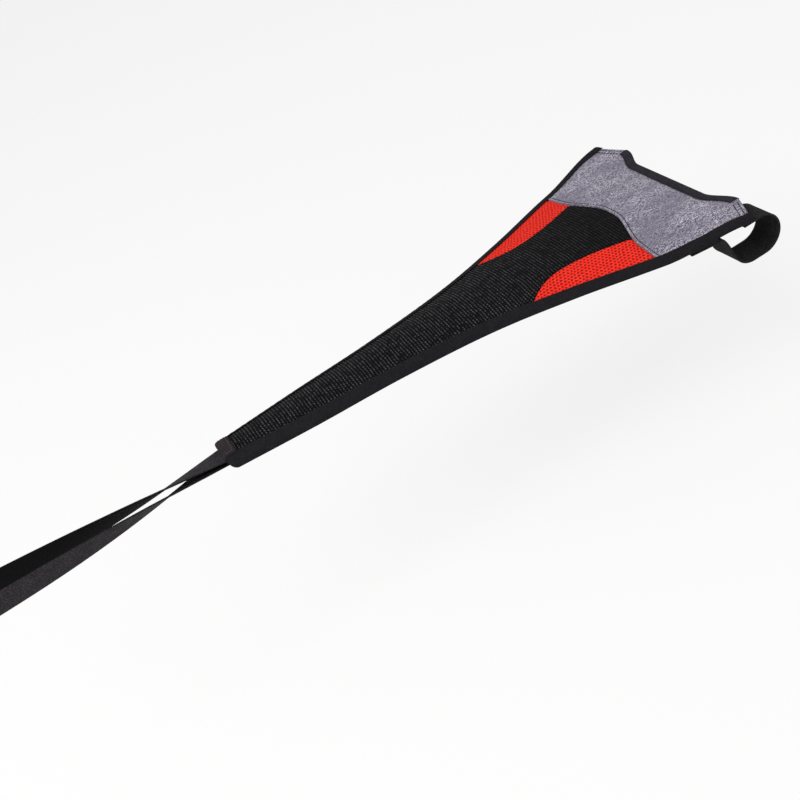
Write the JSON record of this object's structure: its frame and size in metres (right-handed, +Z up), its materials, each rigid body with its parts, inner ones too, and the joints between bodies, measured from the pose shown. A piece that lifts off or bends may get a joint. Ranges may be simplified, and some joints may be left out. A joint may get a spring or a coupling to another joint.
{
  "type": "bicycle sweat guard",
  "caption": "Tapering cloth guard that spans a bicycle's top tube: two arms loop round the handlebar and one twisted strap loops round the seat post.",
  "frame": {"origin": "middle of the handlebar's axis, which both bar loops go round", "axes": "+X forwards, away from the seat post; +Y left along the handlebar's axis; +Z up, out of the face of the cloth"},
  "size_m": [0.7, 0.214, 0.0477],
  "materials": {
    "heather_jersey": "soft grey melange knit with darker and lighter flecks",
    "spacer_mesh": "black three-dimensional mesh with fine ribs across",
    "red_mesh": "bright red mesh with rows of small holes",
    "lining": "smooth dark water-repellent backing",
    "binding_tape": "near-black folded tape, stitched along its inner edge",
    "strap_webbing": "charcoal woven webbing with fine ribs along it",
    "tail_patch": "brownish charcoal webbing patch, stitched along its edges",
    "hook_and_loop": "fine fuzz on the loop patches, short bristles on the hook patches"
  },
  "bodies": {
    "root": {"backing_lining": "lining", "front_panel": "heather_jersey", "centre_panel": "spacer_mesh", "collar_binding": "binding_tape", "tail_patch": "tail_patch", "post_strap": "strap_webbing", "post_strap_loop_patch": "hook_and_loop", "post_strap_hook_patch": "hook_and_loop", "left_insert": "red_mesh", "left_edge_binding": "binding_tape", "left_bar_strap": "strap_webbing", "left_loop_patch": "hook_and_loop", "left_hook_patch": "hook_and_loop", "right_insert": "red_mesh", "right_edge_binding": "binding_tape", "right_bar_strap": "strap_webbing", "right_loop_patch": "hook_and_loop", "right_hook_patch": "hook_and_loop"}
  },
  "joints": []
}
